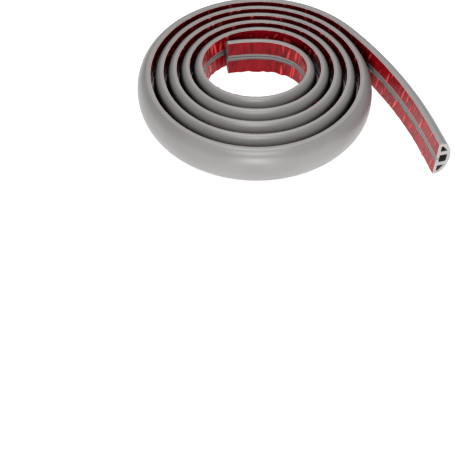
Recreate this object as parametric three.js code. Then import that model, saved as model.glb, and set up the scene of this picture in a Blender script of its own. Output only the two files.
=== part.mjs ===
// Floor cord cover: one length of extruded soft cover, wound on its long edge into a loose flat coil.
// Millimetres, +Z up. The coil's axis is vertical, the dome faces outwards and the taped base faces the eye.
import * as THREE from 'three';

// Cross-section of the free cover, from its flat base to the top of its dome
const COVER_WIDTH = 44.5;
const COVER_THICKNESS = 15;
const EDGE_FLAT = 1.6;
const EDGE_CHAMFER = 0.5;
const DOME_STEPS = 10;

// Cord channels: a square one in the middle, entered by a slit in the base, and a pointed one on each side
const BASE_WALL = 2.8;
const CHANNEL_WIDTH = 10;
const CHANNEL_HEIGHT = 8;
const SLIT_WIDTH = 0.7;
const WEB_THICKNESS = 5.4;
const SIDE_BASE_WALL = 2.6;
const SIDE_CHANNEL_WIDTH = 7.4;
const SIDE_CHANNEL_HEIGHT = 7.4;
const SIDE_CHANNEL_TIP = 1.6;

// The hollow section flattens where it is bent tightly, and springs back along the outer turn to the free tail
const WOUND_THICKNESS = 11.2;
const SPRING_BACK_START_DEGREES = 396;
const SPRING_BACK_END_DEGREES = 324;

// Two strips of mounting tape along the base, each under its own release liner
const TAPE_WIDTH = 17;
const TAPE_THICKNESS = 0.5;
const TAPE_EDGE_MARGIN = 1;
const LINER_OVERHANG = 0.3;
const LINER_THICKNESS = 0.2;
const BOND_GAP = 0.05;

// Coil, seen from above: its angles grow inwards, and 90 degrees is the back of the outer turn
const COIL_RADIUS = 120;
const COIL_START_DEGREES = 36;
const COIL_END_DEGREES = 1884;
const STEP_DEGREES = 12;
const TURN_GAP = 0.5;
const TURN_OVAL = 1.5;
const TURN_DRIFT = 2.8;

// The inner end stays straighter than the turns: it comes clear of the turn around it, and its tip leans on it
const END_SLACK = 8;
const END_SLACK_DEGREES = 120;
const END_ARC_RADIUS = 140;
const END_ARC_LENGTH = 38;
const END_ARC_STEPS = 4;

// Tail: an easy bend, then a straight end
const TAIL_RADIUS = 445;
const TAIL_BEND_LENGTH = 170;
const TAIL_STRAIGHT_LENGTH = 28;
const TAIL_STEP_LENGTH = 20;

// Turns lie closest where the drift works most against the oval, and the gap is kept there
const stackThickness = WOUND_THICKNESS + 2 * BOND_GAP + TAPE_THICKNESS + LINER_THICKNESS;
const driftLoss = TURN_DRIFT < 2 * TURN_OVAL
  ? TURN_DRIFT ** 2 / (4 * TURN_OVAL)
  : TURN_DRIFT - TURN_OVAL;
const sidePitch = stackThickness + TURN_GAP + driftLoss;
const depthPitch = sidePitch + TURN_OVAL;

const coilSteps = Math.round((COIL_END_DEGREES - COIL_START_DEGREES) / STEP_DEGREES);
const bendSteps = Math.round(TAIL_BEND_LENGTH / TAIL_STEP_LENGTH);
const pathSteps = END_ARC_STEPS + coilSteps + bendSteps + 1;

// Point of the base's centre line at an angle of the coil
function coilPoint(degrees) {
  const angle = THREE.MathUtils.degToRad(degrees);
  const turns = (degrees - 90) / 360;
  const slackStart = COIL_END_DEGREES - END_SLACK_DEGREES;
  const slack = END_SLACK * THREE.MathUtils.smoothstep(degrees, slackStart, COIL_END_DEGREES);
  return new THREE.Vector3(
    (COIL_RADIUS - sidePitch * turns - slack) * Math.cos(angle),
    (COIL_RADIUS - depthPitch * turns - slack) * Math.sin(angle) + TURN_DRIFT * turns,
    0,
  );
}

// Heading of the coil at an angle, seen on the way inwards
function coilHeading(degrees) {
  const behind = coilPoint(degrees - 0.01);
  const ahead = coilPoint(degrees + 0.01);
  return Math.atan2(ahead.y - behind.y, ahead.x - behind.x);
}

// Point at a distance along an arc that leaves a point at a heading; a negative radius bends clockwise
function arcPoint(start, heading, radius, distance) {
  const turned = heading + distance / radius;
  return new THREE.Vector3(
    start.x + radius * (Math.sin(turned) - Math.sin(heading)),
    start.y + radius * (Math.cos(heading) - Math.cos(turned)),
    0,
  );
}

// The inner end goes on from the innermost turn, and the tail leaves the outer turn, as each turn heads there
const innerStart = coilPoint(COIL_END_DEGREES);
const innerHeading = coilHeading(COIL_END_DEGREES);
const tailStart = coilPoint(COIL_START_DEGREES);
const tailHeading = coilHeading(COIL_START_DEGREES) + Math.PI;
const bendEnd = arcPoint(tailStart, tailHeading, -TAIL_RADIUS, TAIL_BEND_LENGTH);
const endHeading = tailHeading - TAIL_BEND_LENGTH / TAIL_RADIUS;
const endDirection = new THREE.Vector3(Math.cos(endHeading), Math.sin(endHeading), 0);

// Centre line of the base, from the end in the eye outwards to the tail's end.
// Its steps keep to the same angles in every turn, so that the flats of neighbouring turns lie parallel.
class CoverPath extends THREE.Curve {
  getPoint(t) {
    const step = t * pathSteps;
    if (step < END_ARC_STEPS) {
      const distance = (1 - step / END_ARC_STEPS) * END_ARC_LENGTH;
      return arcPoint(innerStart, innerHeading, END_ARC_RADIUS, distance);
    }
    const coilStep = step - END_ARC_STEPS;
    if (coilStep <= coilSteps) {
      return coilPoint(COIL_END_DEGREES - coilStep * STEP_DEGREES);
    }
    const tailStep = coilStep - coilSteps;
    if (tailStep <= bendSteps) {
      return arcPoint(tailStart, tailHeading, -TAIL_RADIUS, (tailStep / bendSteps) * TAIL_BEND_LENGTH);
    }
    return bendEnd.clone().addScaledVector(endDirection, (tailStep - bendSteps) * TAIL_STRAIGHT_LENGTH);
  }
}

// Outline of the cover: x runs down the upright strip, y from the base out to the dome
function coverSection() {
  const half = COVER_WIDTH / 2;
  const domeFoot = EDGE_CHAMFER + EDGE_FLAT;
  const section = new THREE.Shape();
  section.moveTo(SLIT_WIDTH / 2, 0);
  section.lineTo(half - EDGE_CHAMFER, 0);
  section.lineTo(half, EDGE_CHAMFER);
  for (let i = 0; i <= DOME_STEPS; i += 1) {
    const angle = (Math.PI * i) / DOME_STEPS;
    section.lineTo(half * Math.cos(angle), domeFoot + (COVER_THICKNESS - domeFoot) * Math.sin(angle));
  }
  section.lineTo(-half, EDGE_CHAMFER);
  section.lineTo(EDGE_CHAMFER - half, 0);
  section.lineTo(-SLIT_WIDTH / 2, 0);
  section.lineTo(-SLIT_WIDTH / 2, BASE_WALL);
  section.lineTo(-CHANNEL_WIDTH / 2, BASE_WALL);
  section.lineTo(-CHANNEL_WIDTH / 2, BASE_WALL + CHANNEL_HEIGHT);
  section.lineTo(CHANNEL_WIDTH / 2, BASE_WALL + CHANNEL_HEIGHT);
  section.lineTo(CHANNEL_WIDTH / 2, BASE_WALL);
  section.lineTo(SLIT_WIDTH / 2, BASE_WALL);
  section.closePath();
  section.holes.push(sideChannel(1), sideChannel(-1));
  return section;
}

// Pointed channel under one flank of the dome, one web away from the middle channel
function sideChannel(side) {
  const inner = CHANNEL_WIDTH / 2 + WEB_THICKNESS;
  const tip = inner + SIDE_CHANNEL_WIDTH;
  const channel = new THREE.Path();
  channel.moveTo(side * inner, SIDE_BASE_WALL);
  channel.lineTo(side * tip, SIDE_BASE_WALL);
  channel.lineTo(side * tip, SIDE_BASE_WALL + SIDE_CHANNEL_TIP);
  channel.lineTo(side * inner, SIDE_BASE_WALL + SIDE_CHANNEL_HEIGHT);
  channel.closePath();
  return channel;
}

// Flat strip under the base, on one side of the slit, from one depth below the base to another
function stripSection(side, innerEdge, outerEdge, nearDepth, farDepth) {
  const strip = new THREE.Shape();
  strip.moveTo(side * innerEdge, -nearDepth);
  strip.lineTo(side * outerEdge, -nearDepth);
  strip.lineTo(side * outerEdge, -farDepth);
  strip.lineTo(side * innerEdge, -farDepth);
  strip.closePath();
  return strip;
}

function tapeSection(side) {
  const outerEdge = COVER_WIDTH / 2 - TAPE_EDGE_MARGIN;
  return stripSection(side, outerEdge - TAPE_WIDTH, outerEdge, BOND_GAP, BOND_GAP + TAPE_THICKNESS);
}

function linerSection(side) {
  const outerEdge = COVER_WIDTH / 2 - TAPE_EDGE_MARGIN + LINER_OVERHANG;
  const innerEdge = outerEdge - TAPE_WIDTH - 2 * LINER_OVERHANG;
  const nearDepth = 2 * BOND_GAP + TAPE_THICKNESS;
  return stripSection(side, innerEdge, outerEdge, nearDepth, nearDepth + LINER_THICKNESS);
}

const coverPath = new CoverPath();

// Thickness of the strip at a step of its path, as a share of its free thickness
function fullness(step) {
  const degrees = COIL_END_DEGREES - (step - END_ARC_STEPS) * STEP_DEGREES;
  const wound = THREE.MathUtils.smoothstep(degrees, SPRING_BACK_END_DEGREES, SPRING_BACK_START_DEGREES);
  return THREE.MathUtils.lerp(1, WOUND_THICKNESS / COVER_THICKNESS, wound);
}

// Ring of section corners at a step of the path; only what lies outside the base flattens
function sectionRing(corners, step) {
  const middle = coverPath.getPoint(step / pathSteps);
  const heading = coverPath.getTangent(step / pathSteps);
  return corners.flatMap(({ x, y }) => {
    const depth = y > 0 ? y * fullness(step) : y;
    return [middle.x - heading.y * depth, middle.y + heading.x * depth, -x];
  });
}

// Walls between the rings of a strip, two triangles for each side of each outline
function stripWalls(outlines, ringSize) {
  const walls = [];
  for (let step = 0; step < pathSteps; step += 1) {
    let first = step * ringSize;
    for (const outline of outlines) {
      outline.forEach((_, i) => {
        const here = first + i;
        const next = first + ((i + 1) % outline.length);
        walls.push(here, next, here + ringSize, next, next + ringSize, here + ringSize);
      });
      first += outline.length;
    }
  }
  return walls;
}

// One piece of the strip; triangulateShape also drops the closing corner that repeats an outline's first
function sweptPiece(name, section, material) {
  const { shape, holes } = section.extractPoints(1);
  const outer = THREE.ShapeUtils.isClockWise(shape) ? shape.toReversed() : shape;
  const inner = holes.map((hole) => (THREE.ShapeUtils.isClockWise(hole) ? hole : hole.toReversed()));
  const faces = THREE.ShapeUtils.triangulateShape(outer, inner);
  const corners = [outer, ...inner].flat();
  const startCap = faces.map(([a, b, c]) => [a, c, b]);
  const lastRing = pathSteps * corners.length;
  const endCap = faces.map(([a, b, c]) => [a + lastRing, b + lastRing, c + lastRing]);
  const positions = Array.from({ length: pathSteps + 1 }, (_, step) => sectionRing(corners, step));
  const geometry = new THREE.BufferGeometry();
  geometry.setAttribute('position', new THREE.Float32BufferAttribute(positions.flat(), 3));
  geometry.setIndex([...startCap.flat(), ...endCap.flat(), ...stripWalls([outer, ...inner], corners.length)]);
  geometry.computeVertexNormals();
  const piece = new THREE.Mesh(geometry, material);
  piece.name = name;
  return piece;
}

const coverMaterial = new THREE.MeshStandardMaterial({ color: 0x9b9694, roughness: 0.48, metalness: 0 });
const tapeMaterial = new THREE.MeshStandardMaterial({ color: 0xcfcac4, roughness: 0.85, metalness: 0 });
const linerMaterial = new THREE.MeshStandardMaterial({ color: 0xc01627, roughness: 0.22, metalness: 0 });

// The coil is turned so that the tail's straight end runs along -Y
const coil = new THREE.Group();
coil.rotation.z = -Math.PI / 2 - endHeading;
coil.add(
  sweptPiece('cover_body', coverSection(), coverMaterial),
  sweptPiece('adhesive_tape_upper', tapeSection(-1), tapeMaterial),
  sweptPiece('adhesive_tape_lower', tapeSection(1), tapeMaterial),
  sweptPiece('release_liner_upper', linerSection(-1), linerMaterial),
  sweptPiece('release_liner_lower', linerSection(1), linerMaterial),
);

// The origin is the middle of the floor that the coil's outline covers
const floorCordCover = new THREE.Group();
floorCordCover.add(coil);
const bounds = new THREE.Box3().setFromObject(floorCordCover, true);
const middle = bounds.getCenter(new THREE.Vector3());
coil.position.set(-middle.x, -middle.y, -bounds.min.z);

export default floorCordCover;
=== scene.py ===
import math

import bmesh
import bpy
import numpy as np
from mathutils import Matrix, Vector
from mathutils.geometry import tessellate_polygon


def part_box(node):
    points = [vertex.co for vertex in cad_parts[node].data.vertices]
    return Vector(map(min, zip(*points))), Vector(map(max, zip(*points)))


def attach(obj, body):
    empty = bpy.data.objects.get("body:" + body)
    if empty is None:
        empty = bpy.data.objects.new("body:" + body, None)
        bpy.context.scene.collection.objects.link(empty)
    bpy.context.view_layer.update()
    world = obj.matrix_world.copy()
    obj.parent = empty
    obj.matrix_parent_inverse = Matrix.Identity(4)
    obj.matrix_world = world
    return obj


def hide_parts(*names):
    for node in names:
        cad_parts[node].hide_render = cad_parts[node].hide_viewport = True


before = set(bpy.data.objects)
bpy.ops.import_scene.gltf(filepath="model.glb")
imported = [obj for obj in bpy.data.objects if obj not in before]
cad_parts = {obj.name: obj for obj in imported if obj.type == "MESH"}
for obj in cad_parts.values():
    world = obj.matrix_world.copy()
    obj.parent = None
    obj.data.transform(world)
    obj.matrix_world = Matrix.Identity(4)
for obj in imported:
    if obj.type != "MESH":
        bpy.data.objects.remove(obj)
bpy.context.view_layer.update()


# The cover. One length of soft grey vinyl, extruded hollow with a flat base, a low dome and three channels
# for cords, and cut square at both ends with a blade. It is wound on its long edge into a loose coil, where
# the hollow strip lies flatter than on the free tail, which runs out in an easy bend.
body_low, body_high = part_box("cover_body")
strip_width = body_high[2] - body_low[2]
strip_thickness = 0.0150
wound_thickness = 0.0112
tape_thickness = 0.0005
film_thickness = 0.0002
bond_gap = 0.00005

# The spiral, in metres and in degrees. Its turns get a little more oval towards the eye and drift to the back
# as they go in. They lie a small gap apart, with the tape and the film between them.
outer_radius = 0.120
turn_gap = 0.0005
turn_oval = 0.0015
turn_drift = 0.0028
wound_stack = wound_thickness + tape_thickness + film_thickness + 2 * bond_gap
side_pitch = wound_stack + turn_gap + turn_drift ** 2 / (4 * turn_oval)
depth_pitch = side_pitch + turn_oval
coil_start, coil_end = 36.0, 1884.0
spring_back_start, spring_back_end = 396.0, 324.0
back_of_coil, full_turn = 90.0, 360.0
coil_points = 24000

# The straighter end inside the eye, and the tail: a long bend and then a straight stretch.
end_slack, end_slack_degrees = 0.008, 120.0
end_radius, end_length, end_points = 0.140, 0.038, 1000
tail_radius, tail_bend, tail_straight, tail_points = 0.445, 0.170, 0.028, 4000
heading_step = 0.01


def eased(share):
    """A share from 0 to 1 that starts and ends gently."""
    share = np.clip(share, 0, 1)
    return share ** 2 * (3 - 2 * share)


def on_coil(degrees):
    """Place on the spiral, seen from above; angles grow inwards and 90 degrees is the back."""
    angle = np.radians(degrees)
    turns = (degrees - back_of_coil) / full_turn
    slack = end_slack * eased(1 - (coil_end - degrees) / end_slack_degrees)
    x = (outer_radius - side_pitch * turns - slack) * np.cos(angle)
    y = (outer_radius - depth_pitch * turns - slack) * np.sin(angle) + turn_drift * turns
    return np.stack([x, y], axis=-1)


def coil_heading(degrees):
    """Heading of the spiral at an angle, on the way inwards."""
    step = on_coil(np.array(degrees + heading_step)) - on_coil(np.array(degrees - heading_step))
    return math.atan2(step[1], step[0])


def on_arc(start, heading, radius, distance):
    """Place along an arc from a start and a heading. It bends left, or right with a negative radius."""
    now = heading + distance / radius
    x = start[0] + radius * (np.sin(now) - math.sin(heading))
    y = start[1] + radius * (math.cos(heading) - np.cos(now))
    return np.stack([x, y], axis=-1)


def on_inner_end(distance):
    """Place on the inner end, at a distance from where it leaves the innermost turn."""
    return on_arc(on_coil(np.array(coil_end)), coil_heading(coil_end), end_radius, distance)


def on_tail(distance):
    """Place and heading on the tail, at a distance from where it leaves the outer turn."""
    leaves = coil_heading(coil_start) + math.pi
    bent = np.minimum(distance, tail_bend)
    heading = leaves - bent / tail_radius
    place = on_arc(on_coil(np.array(coil_start)), leaves, -tail_radius, bent)
    straight = np.maximum(0, distance - tail_bend)
    return place + np.stack([straight * np.cos(heading), straight * np.sin(heading)], axis=-1), heading


# The frame fixes where the coil lies: the tail ends along -Y, its dome is the outermost thing to +X, and its
# cut face is the outermost thing to -Y.
tail_length = tail_bend + tail_straight
last_point, last_heading = on_tail(np.array(tail_length))
coil_turn = -math.pi / 2 - float(last_heading)
turn_matrix = np.array([
    [math.cos(coil_turn), -math.sin(coil_turn)],
    [math.sin(coil_turn), math.cos(coil_turn)],
])
tail_tip = np.array([body_high[0] - strip_thickness, body_low[1]])
coil_middle = tail_tip - turn_matrix @ last_point

# The base line: the middle of the strip's flat base, from the inner end to the tip of the tail. Every piece
# is laid along it.
to_coil = np.linspace(end_length, 0, end_points)[:-1]
coil_degrees = np.linspace(coil_end, coil_start, coil_points)
along_tail = np.linspace(0, tail_length, tail_points)[1:]
base_line = np.vstack([on_inner_end(to_coil), on_coil(coil_degrees), on_tail(along_tail)[0]])
base_line = base_line @ turn_matrix.T + coil_middle
line_run = np.concatenate([[0], np.cumsum(np.linalg.norm(np.diff(base_line, axis=0), axis=1))])
line_degrees = np.concatenate([
    np.full(len(to_coil), coil_end),
    coil_degrees,
    np.full(len(along_tail), coil_start),
])
strip_length = float(line_run[-1])


def lay_line(stations):
    """The base line at distances from the inner end: places and dome-side normals."""
    places = np.stack([np.interp(stations, line_run, base_line[:, axis]) for axis in (0, 1)], axis=-1)
    heading = np.gradient(places, stations, axis=0)
    heading /= np.linalg.norm(heading, axis=1)[:, None]
    return places, np.stack([-heading[:, 1], heading[:, 0]], axis=-1)


def fullness(stations):
    """Thickness of the strip as a share of its free thickness: it flattens in the tight turns."""
    degrees = np.interp(stations, line_run, line_degrees)
    wound = eased((degrees - spring_back_end) / (spring_back_start - spring_back_end))
    return 1 + (wound_thickness / strip_thickness - 1) * wound


# The section of the strip: thick webs between a square middle channel and a pointed channel under each
# flank, and a slit through the base that lets cords in. Extruded corners are eased, each by its radius.
edge_flat, edge_radius = 0.0021, 0.0006
dome_points = 41
base_wall = 0.0028
slit_width, slit_radius = 0.0007, 0.0003
channel_width, channel_height = 0.0100, 0.0080
channel_radius, channel_roof_radius = 0.0006, 0.0012
web = 0.0054
side_wall, side_width, side_height, side_tip = 0.0026, 0.0074, 0.0074, 0.0016
side_radius, side_roof_radius = 0.0005, 0.0006
cut_edge_relief = 0.00012
cover_station = 0.0033
cover_sharp_degrees = 40


def rounded(corners, steps=3):
    """Closed outline through (height, depth, radius) corners, each eased by a short curve."""
    outline = []
    for index, (height, depth, radius) in enumerate(corners):
        corner = np.array([height, depth])
        if not radius:
            outline.append(corner)
            continue
        before = np.array(corners[index - 1][:2]) - corner
        after = np.array(corners[(index + 1) % len(corners)][:2]) - corner
        enter = corner + before / np.linalg.norm(before) * radius
        leave = corner + after / np.linalg.norm(after) * radius
        for t in np.linspace(0, 1, steps + 1):
            outline.append((1 - t) ** 2 * enter + 2 * t * (1 - t) * corner + t ** 2 * leave)
    return np.array(outline)


def mirrored(corners):
    """The same corners on the other side of the slit, in the order that keeps the outline's turn."""
    return [(-height, depth, radius) for height, depth, radius in reversed(corners)]


def cover_outlines():
    """Outer skin with the slit and middle channel, then the two side channels, as (height, depth)."""
    half = strip_width / 2
    lip, hall, roof = slit_width / 2, channel_width / 2, base_wall + channel_height
    rise = strip_thickness - edge_flat
    dome_turn = np.linspace(0, math.pi, dome_points)
    dome = [(half * math.cos(angle), edge_flat + rise * math.sin(angle), 0) for angle in dome_turn]
    upper_base = [(lip, 0, slit_radius), (half, 0, edge_radius)]
    lower_channel = [
        (-lip, base_wall, slit_radius),
        (-hall, base_wall, channel_radius),
        (-hall, roof, channel_roof_radius),
    ]
    skin = upper_base + dome + mirrored(upper_base) + lower_channel + mirrored(lower_channel)
    inner = hall + web
    upper = [
        (inner, side_wall, side_radius),
        (inner, side_wall + side_height, side_roof_radius),
        (inner + side_width, side_wall + side_tip, side_radius),
        (inner + side_width, side_wall, side_radius),
    ]
    return [rounded(skin), rounded(upper, steps=2), rounded(mirrored(upper), steps=2)]


def into_material(outline, amount):
    """The outline moved a little into the vinyl, for the blunt edge that a blade leaves."""
    along = np.roll(outline, -1, axis=0) - np.roll(outline, 1, axis=0)
    along /= np.linalg.norm(along, axis=1)[:, None]
    return outline + np.stack([-along[:, 1], along[:, 0]], axis=-1) * amount


def run_and_around(run, around):
    """Distance along and across the strip for every point of a grid, in metres."""
    return np.stack(np.broadcast_arrays(run[:, None], around[None, :]), axis=-1).reshape(-1, 2)


def strip_piece(name, vertices, faces, run_across, sharp_degrees):
    """A piece of the strip, smooth but for its sharp edges, with a UV map that runs along it."""
    mesh = bpy.data.meshes.new(name)
    mesh.from_pydata(vertices.reshape(-1, 3).tolist(), [], faces)
    layer = mesh.uv_layers.new(name="along_strip")
    corner_vertex = np.empty(len(mesh.loops), dtype=np.int32)
    mesh.loops.foreach_get("vertex_index", corner_vertex)
    layer.data.foreach_set("uv", run_across[corner_vertex].astype(np.float32).ravel())
    facing = bmesh.new()
    facing.from_mesh(mesh)
    bmesh.ops.recalc_face_normals(facing, faces=facing.faces)
    facing.to_mesh(mesh)
    facing.free()
    mesh.shade_smooth()
    mesh.set_sharp_from_angle(angle=math.radians(sharp_degrees))
    piece = bpy.data.objects.new(name, mesh)
    bpy.context.scene.collection.objects.link(piece)
    return piece


def sweep(name, outlines, spacing, sharp_degrees, relief=0.0):
    """Solid strip along the base line, with each outline as a skin and both ends closed. A relief sets the
    edge of each cut end back into the material by that much."""
    stations = np.linspace(0, strip_length, int(round(strip_length / spacing)) + 1)
    places, normals = lay_line(stations)
    if relief:
        doubled_ends = np.concatenate([[0], np.arange(len(stations)), [len(stations) - 1]])
        stations, places, normals = (values[doubled_ends] for values in (stations, places, normals))
        for ring, neighbour in ((1, 2), (-2, -3)):
            step = places[neighbour] - places[ring]
            places[ring] += step / np.linalg.norm(step) * relief
    section = np.vstack(outlines)
    cut_section = np.vstack([into_material(outline, relief) for outline in outlines])
    rings, ring_size = len(places), len(section)
    height = np.tile(section[:, 0], (rings, 1))
    depth = np.tile(section[:, 1], (rings, 1))
    for ring in (0, -1):
        height[ring], depth[ring] = cut_section.T
    depth *= np.where(depth > 0, fullness(stations)[:, None], 1)
    vertices = np.empty((rings, ring_size, 3))
    vertices[:, :, :2] = places[:, None, :] + normals[:, None, :] * depth[:, :, None]
    vertices[:, :, 2] = strip_width / 2 + height

    faces = []
    first = 0
    for outline in outlines:
        here = first + np.arange(len(outline))
        ahead = np.roll(here, -1)
        for ring in range(rings - 1):
            near, far = ring * ring_size, (ring + 1) * ring_size
            quads = np.stack([near + here, far + here, far + ahead, near + ahead], axis=-1)
            faces.extend(map(tuple, quads.tolist()))
        first += len(outline)
    skin_faces = len(faces)
    last_ring = (rings - 1) * ring_size
    for triangle in tessellate_polygon([[Vector((h, d, 0)) for h, d in outline] for outline in outlines]):
        faces.append(tuple(triangle))
        faces.append(tuple(corner + last_ring for corner in reversed(triangle)))

    edges = [np.linalg.norm(np.diff(outline, axis=0, prepend=outline[:1]), axis=1) for outline in outlines]
    around = np.concatenate([np.cumsum(edge) for edge in edges])
    piece = strip_piece(name, vertices, faces, run_and_around(stations, around), sharp_degrees)
    return piece, skin_faces


def new_finish(name):
    """A new material with its node tree and its Principled shader."""
    material = bpy.data.materials.new(name)
    material.use_nodes = True
    return material, material.node_tree, material.node_tree.nodes["Principled BSDF"]


def noise_along(tree, run_scale, across_scale, detail=2.0, roughness=0.5):
    """Noise stretched along or across the strip, in cycles per metre each way."""
    place = tree.nodes.new("ShaderNodeUVMap")
    place.uv_map = "along_strip"
    stretch = tree.nodes.new("ShaderNodeMapping")
    stretch.inputs["Scale"].default_value = (run_scale, across_scale, 1)
    noise = tree.nodes.new("ShaderNodeTexNoise")
    noise.inputs["Scale"].default_value = 1
    noise.inputs["Detail"].default_value = detail
    noise.inputs["Roughness"].default_value = roughness
    tree.links.new(place.outputs["UV"], stretch.inputs["Vector"])
    tree.links.new(stretch.outputs["Vector"], noise.inputs["Vector"])
    return noise.outputs["Fac"]


def noise_through(tree, scale, detail):
    """Even noise through the piece, in cycles per metre."""
    place = tree.nodes.new("ShaderNodeTexCoord")
    noise = tree.nodes.new("ShaderNodeTexNoise")
    noise.inputs["Scale"].default_value = scale
    noise.inputs["Detail"].default_value = detail
    tree.links.new(place.outputs["Object"], noise.inputs["Vector"])
    return noise.outputs["Fac"]


def spread(tree, value, low=0.3, high=0.7, out_low=0, out_high=1):
    """A value stretched from one range to another. Noise lies mostly between 0.3 and 0.7."""
    ranged = tree.nodes.new("ShaderNodeMapRange")
    ranged.inputs["From Min"].default_value = low
    ranged.inputs["From Max"].default_value = high
    ranged.inputs["To Min"].default_value = out_low
    ranged.inputs["To Max"].default_value = out_high
    tree.links.new(value, ranged.inputs["Value"])
    return ranged.outputs["Result"]


def blend_colours(tree, share, first, second):
    """A blend of two colours, each given as red, green and blue or as another node's output."""
    mix = tree.nodes.new("ShaderNodeMix")
    mix.data_type = "RGBA"
    for name, colour in (("A", first), ("B", second)):
        if isinstance(colour, tuple):
            mix.inputs[name].default_value = (*colour, 1)
        else:
            tree.links.new(colour, mix.inputs[name])
    tree.links.new(share, mix.inputs["Factor"])
    return mix.outputs["Result"]


def arithmetic(tree, operation, first, second):
    """One step of arithmetic on two values, each a number or another node's output."""
    step = tree.nodes.new("ShaderNodeMath")
    step.operation = operation
    for place, value in enumerate((first, second)):
        if isinstance(value, float):
            step.inputs[place].default_value = value
        else:
            tree.links.new(value, step.inputs[place])
    return step.outputs["Value"]


def raised(tree, shader, value, height, before=None):
    """Bump of a real height in metres, on top of an earlier bump if there is one."""
    bump = tree.nodes.new("ShaderNodeBump")
    bump.inputs["Distance"].default_value = height
    bump.inputs["Strength"].default_value = 1
    tree.links.new(value, bump.inputs["Height"])
    if before:
        tree.links.new(before.outputs["Normal"], bump.inputs["Normal"])
    tree.links.new(bump.outputs["Normal"], shader.inputs["Normal"])
    return bump


def height_above_floor(tree):
    """Height of each point of the piece, in metres."""
    place = tree.nodes.new("ShaderNodeTexCoord")
    split = tree.nodes.new("ShaderNodeSeparateXYZ")
    tree.links.new(place.outputs["Object"], split.inputs["Vector"])
    return split.outputs["Z"]


# Painted shade in the clefts between the turns: colour and gloss darken by the share of open room in front
# of a point. Near the floor, whose light reaches in, no shade is painted.
cleft_samples = 8
cleft_shut, cleft_open = 0.36, 0.60
floor_light_full, floor_light_gone = 0.004, 0.013


def painted_shade_in_clefts(tree, shader, colour, gloss, reach, least):
    """Painted shade: colour and gloss fall to their least share where another surface lies within reach in
    front.
    """
    cleft = tree.nodes.new("ShaderNodeAmbientOcclusion")
    cleft.samples = cleft_samples
    cleft.inputs["Distance"].default_value = reach
    open_room = spread(tree, cleft.outputs["AO"], cleft_shut, cleft_open, least, 1)
    floor_light = spread(tree, height_above_floor(tree), floor_light_full, floor_light_gone, 1, 0)
    shade = arithmetic(tree, "MAXIMUM", open_room, floor_light)
    tree.links.new(blend_colours(tree, shade, (0, 0, 0), colour), shader.inputs["Base Color"])
    tree.links.new(arithmetic(tree, "MULTIPLY", shade, gloss), shader.inputs["Specular IOR Level"])


# The cover's finishes. The moulded skin is satin, with a fine grain, faint lines from the die and a painted
# highlight on its long top edge. The cut ends are paler and dull; the channel walls are painted shade, near
# black.
vinyl_dark, vinyl_pale = (0.181, 0.173, 0.171), (0.206, 0.198, 0.196)
vinyl_top_highlight, top_highlight_depth, top_highlight_share = (0.38, 0.37, 0.36), 0.0005, 0.45
wall_shade_dark, wall_shade_pale = (0.018, 0.017, 0.017), (0.034, 0.032, 0.031)
cut_dark, cut_pale = (0.28, 0.275, 0.27), (0.35, 0.345, 0.34)
channel_margin = 0.0002


def moulded_vinyl():
    material, tree, shader = new_finish("moulded_grey_vinyl")
    cloud = spread(tree, noise_through(tree, scale=28, detail=3))
    # A painted highlight lightens the long top edge of the skin.
    top_highlight = spread(tree, height_above_floor(tree), strip_width - top_highlight_depth, strip_width, 0, top_highlight_share)
    skin = blend_colours(tree, top_highlight, blend_colours(tree, cloud, vinyl_dark, vinyl_pale), vinyl_top_highlight)
    # Painted shade darkens the skin's colour and gloss in the clefts between the turns.
    painted_shade_in_clefts(tree, shader, skin, gloss=0.68, reach=0.012, least=0.02)
    sheen_lines = spread(tree, noise_along(tree, run_scale=6, across_scale=900), out_low=0.33, out_high=0.43)
    tree.links.new(sheen_lines, shader.inputs["Roughness"])
    grain = raised(tree, shader, noise_through(tree, scale=2600, detail=2), height=0.00002)
    raised(tree, shader, noise_along(tree, run_scale=5, across_scale=700), height=0.00003, before=grain)
    return material


# Near-black painted shade for the walls inside the channels.
def shaded_vinyl():
    material, tree, shader = new_finish("channel_wall_painted_shade")
    drag = spread(tree, noise_along(tree, run_scale=8, across_scale=1200))
    tree.links.new(blend_colours(tree, drag, wall_shade_dark, wall_shade_pale), shader.inputs["Base Color"])
    shader.inputs["Roughness"].default_value = 0.75
    raised(tree, shader, drag, height=0.00003)
    return material


def cut_vinyl():
    material, tree, shader = new_finish("blade_cut_vinyl")
    smear = spread(tree, noise_through(tree, scale=420, detail=4))
    tree.links.new(blend_colours(tree, smear, cut_dark, cut_pale), shader.inputs["Base Color"])
    shader.inputs["Roughness"].default_value = 0.7
    raised(tree, shader, noise_through(tree, scale=900, detail=5), height=0.00006)
    return material


def dress_cover(cover, outlines, skin_faces):
    """Moulded skin outside, matt walls near black with painted shade in the channels, and pale blade-cut
    ends.
    """
    moulded, cut, shaded = range(3)
    for material in (moulded_vinyl(), cut_vinyl(), shaded_vinyl()):
        cover.data.materials.append(material)
    finish = np.full(len(cover.data.polygons), cut, dtype=np.int32)
    rings = skin_faces // sum(len(outline) for outline in outlines)
    outer = outlines[0]
    middle = (outer + np.roll(outer, -1, axis=0)) / 2
    in_channel = (np.abs(middle[:, 0]) < channel_width / 2 + channel_margin) & (middle[:, 1] > base_wall / 2)
    in_channel &= middle[:, 1] < base_wall + channel_height + channel_margin
    finish[:rings * len(outer)] = np.tile(np.where(in_channel, shaded, moulded), rings)
    finish[rings * len(outer):skin_faces] = shaded
    cover.data.polygons.foreach_set("material_index", finish)


section_outlines = cover_outlines()
cover, cover_skin_faces = sweep(
    "vinyl_cover", section_outlines, cover_station, cover_sharp_degrees, cut_edge_relief
)
dress_cover(cover, section_outlines, cover_skin_faces)
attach(cover, "root")
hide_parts("cover_body")


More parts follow.
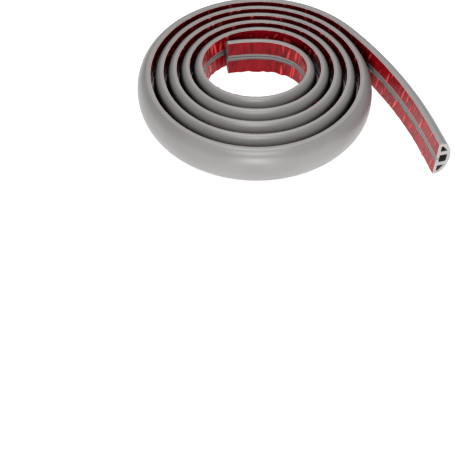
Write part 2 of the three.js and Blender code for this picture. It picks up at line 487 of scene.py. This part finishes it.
# The mounting tapes. Two flat strips of pale acrylic foam, pressed onto the base at the factory, one on
# each side of the slit. Only their thin edges show, between the vinyl and the red liner.
tape_low, tape_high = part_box("adhesive_tape_upper")
tape_width = tape_high[2] - tape_low[2]
tape_outer = tape_high[2] - strip_width / 2
tape_inner = tape_outer - tape_width
tape_station = 0.004
foam_dark, foam_pale = (0.46, 0.44, 0.42), (0.62, 0.60, 0.57)


def tape_outline(side):
    """Section of the tape above the slit, or below it on side -1, as (height, depth)."""
    near, far = -bond_gap, -(bond_gap + tape_thickness)
    corners = [(tape_inner, near), (tape_outer, near), (tape_outer, far), (tape_inner, far)]
    outline = np.array([(side * height, depth) for height, depth in corners])
    return outline if side < 0 else outline[::-1]


def foam_tape():
    material, tree, shader = new_finish("acrylic_foam_tape")
    cells = spread(tree, noise_through(tree, scale=1400, detail=3), low=0.35, high=0.65)
    tree.links.new(blend_colours(tree, cells, foam_dark, foam_pale), shader.inputs["Base Color"])
    shader.inputs["Roughness"].default_value = 0.85
    raised(tree, shader, cells, height=0.00008)
    return material


foam = foam_tape()
for place_name, side in (("upper", 1), ("lower", -1)):
    tape, _ = sweep(f"foam_tape_{place_name}", [tape_outline(side)], tape_station, cover_sharp_degrees)
    tape.data.materials.append(foam)
    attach(tape, "root")
    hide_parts(f"adhesive_tape_{place_name}")


# The release liners. Two strips of thin glossy red film over the tapes. The film does not shrink with the
# strip on the inside of the bends, so it buckles into creases, lifts off the tape in small blisters, and its
# free edges curl and wander a little.
film_overhang = 0.0003
film_rows = 13
fine_station, coarse_station, fine_lead = 0.0006, 0.0011, 0.05
film_sharp_degrees = 50
film_seeds = {"upper": 11, "lower": 23}
tail_start = strip_length - tail_length

# Short creases across the film in the eye, blisters in the clefts, and slanted folds on the tail. Each kind
# has its spacing, the width and height of a ridge, how it leans, and its length. The shares are the least and
# the most of these that one ridge takes.
eye_run = 0.33
fold_lead = 0.10
eye_creases = {"spacing": 0.0056, "width": 0.0010, "height": 0.00110, "lean": (-0.2, 0.2), "length": 0.010}
blisters = {"spacing": 0.008, "width": 0.0014, "height": 0.00110, "lean": (-0.6, 0.6), "length": 0.0038}
tail_folds = {"spacing": 0.0125, "width": 0.0009, "height": 0.00100, "length": 0.012}
tail_fold_slants = (0.05, 0.35)
spacing_shares, width_shares = (0.35, 1.75), (0.6, 1.7)
height_shares, length_shares = (0.25, 1.0), (0.4, 1.2)
ridge_reach = 6

# Where the film lies down on its tape: at its cut ends, on the first stretch from the inner end, and along
# the slit between the turns.
highest_lift = 0.0013
pressed_end = 0.005
flat_start, flat_fade, flat_share = 0.045, 0.03, 0.07
blister_fade = 0.008

# The free edges: both films wander along their tape, and the lower one also curls up in the eye.
inner_wander_spacing, inner_wander = 0.006, 0.00015
outer_wander_spacing, outer_wander_low = 0.004, -0.00075
outer_wander_high = {1: -0.00050, -1: 0.00025}
edge_past_inner, edge_short_of_strip = 0.0003, 0.0004
curl_spacing, curl_low, curl_high = 0.0045, -0.0009, 0.0012
curl_width, curl_fade = 0.0035, 0.03

# The film's colours. A crease counts in full at its height here, with the most painted highlight on its
# crest.
# The stops give the painted light that is left on its side, from the foot up: a painted shadow lies low on
# it.
crease_full_height = 0.0005
film_dark, film_bright = (0.20, 0.002, 0.006), (0.34, 0.004, 0.010)
film_shadow, film_crest_highlight = (0.02, 0, 0.001), (0.90, 0.06, 0.055)
flank_stops = ((0.0, 1.0), (0.12, 0.4), (0.35, 1.0))


def creases(seed, run, across, region, spacing, width, height, lean, length):
    """Lift of the film by many short creases, each a soft ridge across the film, in metres."""
    draw = np.random.RandomState(seed)
    lift = np.zeros((len(run), len(across)))
    place = region[0]
    while place < region[1]:
        place += spacing * draw.uniform(*spacing_shares)
        crest_width = width * draw.uniform(*width_shares)
        crest = height * draw.uniform(*height_shares)
        slant = draw.uniform(*lean)
        middle = draw.uniform(0, across[-1])
        reach = length * draw.uniform(*length_shares)
        near = np.abs(run - place) < ridge_reach * crest_width + abs(slant) * across[-1]
        if not near.any():
            continue
        off = run[near, None] - place - slant * (across[None, :] - middle)
        fade = np.exp(-((across - middle) / reach) ** 2)
        lift[near] += crest * np.exp(-(off / crest_width) ** 2) * fade[None, :]
    return lift


def wander(seed, run, spacing, low, high):
    """A slow wander between random values along the strip."""
    draw = np.random.RandomState(seed)
    knots = np.arange(run[0] - spacing, run[-1] + 2 * spacing, spacing)
    return np.interp(run, knots, draw.uniform(low, high, len(knots)))


def film_lift(seed, run, across, side):
    """Height of the film above its tape, with and without the curled edge."""
    wrinkled = np.clip((run - flat_start) / flat_fade, flat_share, 1)[:, None]
    in_eye = creases(seed, run, across, (0, eye_run), **eye_creases) * wrinkled
    in_clefts = creases(seed + 1, run, across, (eye_run, tail_start), **blisters)
    in_clefts *= np.clip(across / blister_fade, 0, 1)[None, :]
    slants = sorted(side * slant for slant in tail_fold_slants)
    tail_region = (tail_start - fold_lead, strip_length)
    on_the_tail = creases(seed + 2, run, across, tail_region, lean=slants, **tail_folds)
    folded = in_eye + in_clefts + on_the_tail
    if side < 0:
        curl = np.clip(wander(seed + 5, run, curl_spacing, curl_low, curl_high), 0, 1)
        curl *= np.clip((eye_run - run) / curl_fade, 0, 1)
        edge = np.clip((across - across[-1] + curl_width) / curl_width, 0, 1) ** 2
        lifted = folded + curl[:, None] * edge[None, :]
    else:
        lifted = folded
    ends = np.clip(np.minimum(run, strip_length - run) / pressed_end, 0, 1)[:, None]
    return np.minimum(lifted, highest_lift) * ends, np.minimum(folded, highest_lift) * ends


def film_stations():
    """Distances along the strip, close together where the film shows most: in the eye and on the tail."""
    tail_from = tail_start - fine_lead
    return np.concatenate([
        np.arange(0, eye_run, fine_station),
        np.arange(eye_run, tail_from, coarse_station),
        np.linspace(tail_from, strip_length, int((strip_length - tail_from) / fine_station)),
    ])


def liner_film(name, side, seed):
    """One liner: the film's two faces along the strip, joined by a rim, with its creases as an attribute."""
    run = film_stations()
    places, normals = lay_line(run)
    inner_height, outer_height = tape_inner - film_overhang, tape_outer + film_overhang
    across = np.linspace(0, outer_height - inner_height, film_rows)
    lift, folded = film_lift(seed, run, across, side)
    inner_edge = wander(seed + 3, run, inner_wander_spacing, -inner_wander, inner_wander)
    outer_edge = wander(seed + 4, run, outer_wander_spacing, outer_wander_low, outer_wander_high[side])
    share = across / across[-1]
    height = inner_height + across[None, :] + inner_edge[:, None] * (1 - share) + outer_edge[:, None] * share
    height = np.clip(height, inner_height - edge_past_inner, strip_width / 2 - edge_short_of_strip) * side
    near_tape = -(2 * bond_gap + tape_thickness) - lift
    vertices = np.empty((2, len(run), film_rows, 3))
    for face, depth in enumerate((near_tape, near_tape - film_thickness)):
        vertices[face, :, :, :2] = places[:, None, :] + normals[:, None, :] * depth[:, :, None]
        vertices[face, :, :, 2] = strip_width / 2 + height

    count = len(run) * film_rows
    grid = np.arange(count).reshape(len(run), film_rows)
    quads = [corners.ravel() for corners in (grid[:-1, :-1], grid[1:, :-1], grid[1:, 1:], grid[:-1, 1:])]
    rim = np.concatenate([grid[:, 0], grid[-1, 1:], grid[-2::-1, -1], grid[0, -2:0:-1]])
    following = np.roll(rim, -1)
    faces = np.stack(quads, axis=-1).tolist()
    faces += (np.stack(quads[::-1], axis=-1) + count).tolist()
    faces += np.stack([following, rim, rim + count, following + count], axis=-1).tolist()
    run_across = np.tile(run_and_around(run, across), (2, 1))
    film = strip_piece(name, vertices, faces, run_across, film_sharp_degrees)
    crease_values = film.data.attributes.new(name="crease", type="FLOAT", domain="POINT")
    crease_values.data.foreach_set("value", np.tile(folded.ravel() / crease_full_height, 2).astype(np.float32))
    return film


def red_film():
    """Deep red gloss, with a painted highlight on each crease's crest and a painted shadow on the flank
    beside it.
    """
    material, tree, shader = new_finish("glossy_red_film")
    streaks = noise_along(tree, run_scale=230, across_scale=40, detail=3, roughness=0.6)
    smooth = blend_colours(tree, spread(tree, streaks, low=0.32, high=0.68), film_dark, film_bright)
    crease = tree.nodes.new("ShaderNodeAttribute")
    crease.attribute_name = "crease"
    flank = tree.nodes.new("ShaderNodeValToRGB")
    for stop, light in flank_stops:
        knot = flank.color_ramp.elements[0] if stop == 0 else flank.color_ramp.elements.new(stop)
        knot.color = (light, light, light, 1)
    tree.links.new(crease.outputs["Fac"], flank.inputs["Fac"])
    # A painted shadow along each crease's flank, then a painted highlight on its crest.
    shadowed = blend_colours(tree, flank.outputs["Color"], film_shadow, smooth)
    crest = spread(tree, crease.outputs["Fac"], low=0.2, high=1.0, out_high=0.9)
    crest_highlight = blend_colours(tree, crest, shadowed, film_crest_highlight)
    # Painted shade darkens the film's colour and gloss in the clefts between the turns.
    painted_shade_in_clefts(tree, shader, crest_highlight, gloss=0.10, reach=0.014, least=0.17)
    haze = spread(tree, noise_through(tree, scale=160, detail=3), out_low=0.12, out_high=0.24)
    tree.links.new(haze, shader.inputs["Roughness"])
    raised(tree, shader, noise_along(tree, run_scale=420, across_scale=90), height=0.00010)
    return material


film_finish = red_film()
for place_name, side in (("upper", 1), ("lower", -1)):
    film = liner_film(f"red_liner_{place_name}", side, film_seeds[place_name])
    film.data.materials.append(film_finish)
    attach(film, "root")
    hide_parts(f"release_liner_{place_name}")


# The studio. A plain floor of white paper, which glows a little so that it comes out white, under pale air
# and three softboxes: one overhead, the key high in front, and a small low one for the sheen on the outer
# dome. The camera looks down on the coil, which lies in the upper right of its frame.
floor_reach = 6.0
floor_white, floor_roughness, floor_glow = 0.93, 0.9, 0.55
air_light = 0.42
camera_lens, camera_sensor = 70.16, 36
camera_tilt = math.radians(52.026)
camera_distance = 7.5081 * outer_radius
aim_left, aim_forward = 0.2103 * outer_radius, 1.566 * outer_radius
nearest_seen, farthest_seen = 0.01, 50

up = Vector((0, 0, 1))
right = Vector((math.cos(coil_turn), math.sin(coil_turn), 0))
forward = Vector((math.sin(coil_turn), -math.cos(coil_turn), 0))
coil_centre = Vector((*coil_middle, 0))
strip_middle = coil_centre + up * (strip_width / 2)

floor_mesh = bpy.data.meshes.new("studio_floor")
floor_corners = [(x * floor_reach, y * floor_reach, 0) for x, y in ((-1, -1), (1, -1), (1, 1), (-1, 1))]
floor_mesh.from_pydata(floor_corners, [], [(0, 1, 2, 3)])
floor = bpy.data.objects.new("studio_floor", floor_mesh)
bpy.context.scene.collection.objects.link(floor)
floor_paper, _, floor_shader = new_finish("white_paper")
floor_shader.inputs["Base Color"].default_value = (floor_white, floor_white, floor_white, 1)
floor_shader.inputs["Roughness"].default_value = floor_roughness
floor_shader.inputs["Emission Color"].default_value = (1, 1, 1, 1)
floor_shader.inputs["Emission Strength"].default_value = floor_glow
floor.data.materials.append(floor_paper)

world = bpy.data.worlds.new("studio_air")
world.use_nodes = True
air = world.node_tree.nodes["Background"]
air.inputs["Color"].default_value = (1, 1, 1, 1)
air.inputs["Strength"].default_value = air_light
bpy.context.scene.world = world


def softbox(name, in_front, height, aim, size, power):
    """A soft light in front of the coil's centre, or behind it if negative, at a height above the floor."""
    light = bpy.data.lights.new(name, "AREA")
    light.shape = "RECTANGLE"
    light.size, light.size_y = size
    light.energy = power
    lamp = bpy.data.objects.new(name, light)
    lamp.location = coil_centre + forward * in_front + up * height
    lamp.rotation_euler = (aim - lamp.location).to_track_quat("-Z", "Y").to_euler()
    bpy.context.scene.collection.objects.link(lamp)


softbox("overhead_softbox", in_front=-0.2, height=2.4, aim=coil_centre, size=(0.8, 0.8), power=22)
softbox("key_softbox", in_front=1.4, height=1.9, aim=coil_centre, size=(0.9, 0.9), power=26)
softbox("low_front_softbox", in_front=1.0, height=0.11, aim=strip_middle, size=(0.24, 0.20), power=3.4)

camera_data = bpy.data.cameras.new("photo_camera")
camera_data.sensor_width = camera_sensor
camera_data.lens = camera_lens
camera_data.clip_start, camera_data.clip_end = nearest_seen, farthest_seen
to_camera = forward * math.cos(camera_tilt) + up * math.sin(camera_tilt)
camera = bpy.data.objects.new("photo_camera", camera_data)
camera.matrix_world = Matrix((right, to_camera.cross(right), to_camera)).transposed().to_4x4()
camera.location = coil_centre - right * aim_left + forward * aim_forward + to_camera * camera_distance
bpy.context.scene.collection.objects.link(camera)
bpy.context.scene.camera = camera
bpy.context.scene.view_settings.view_transform = "Standard"
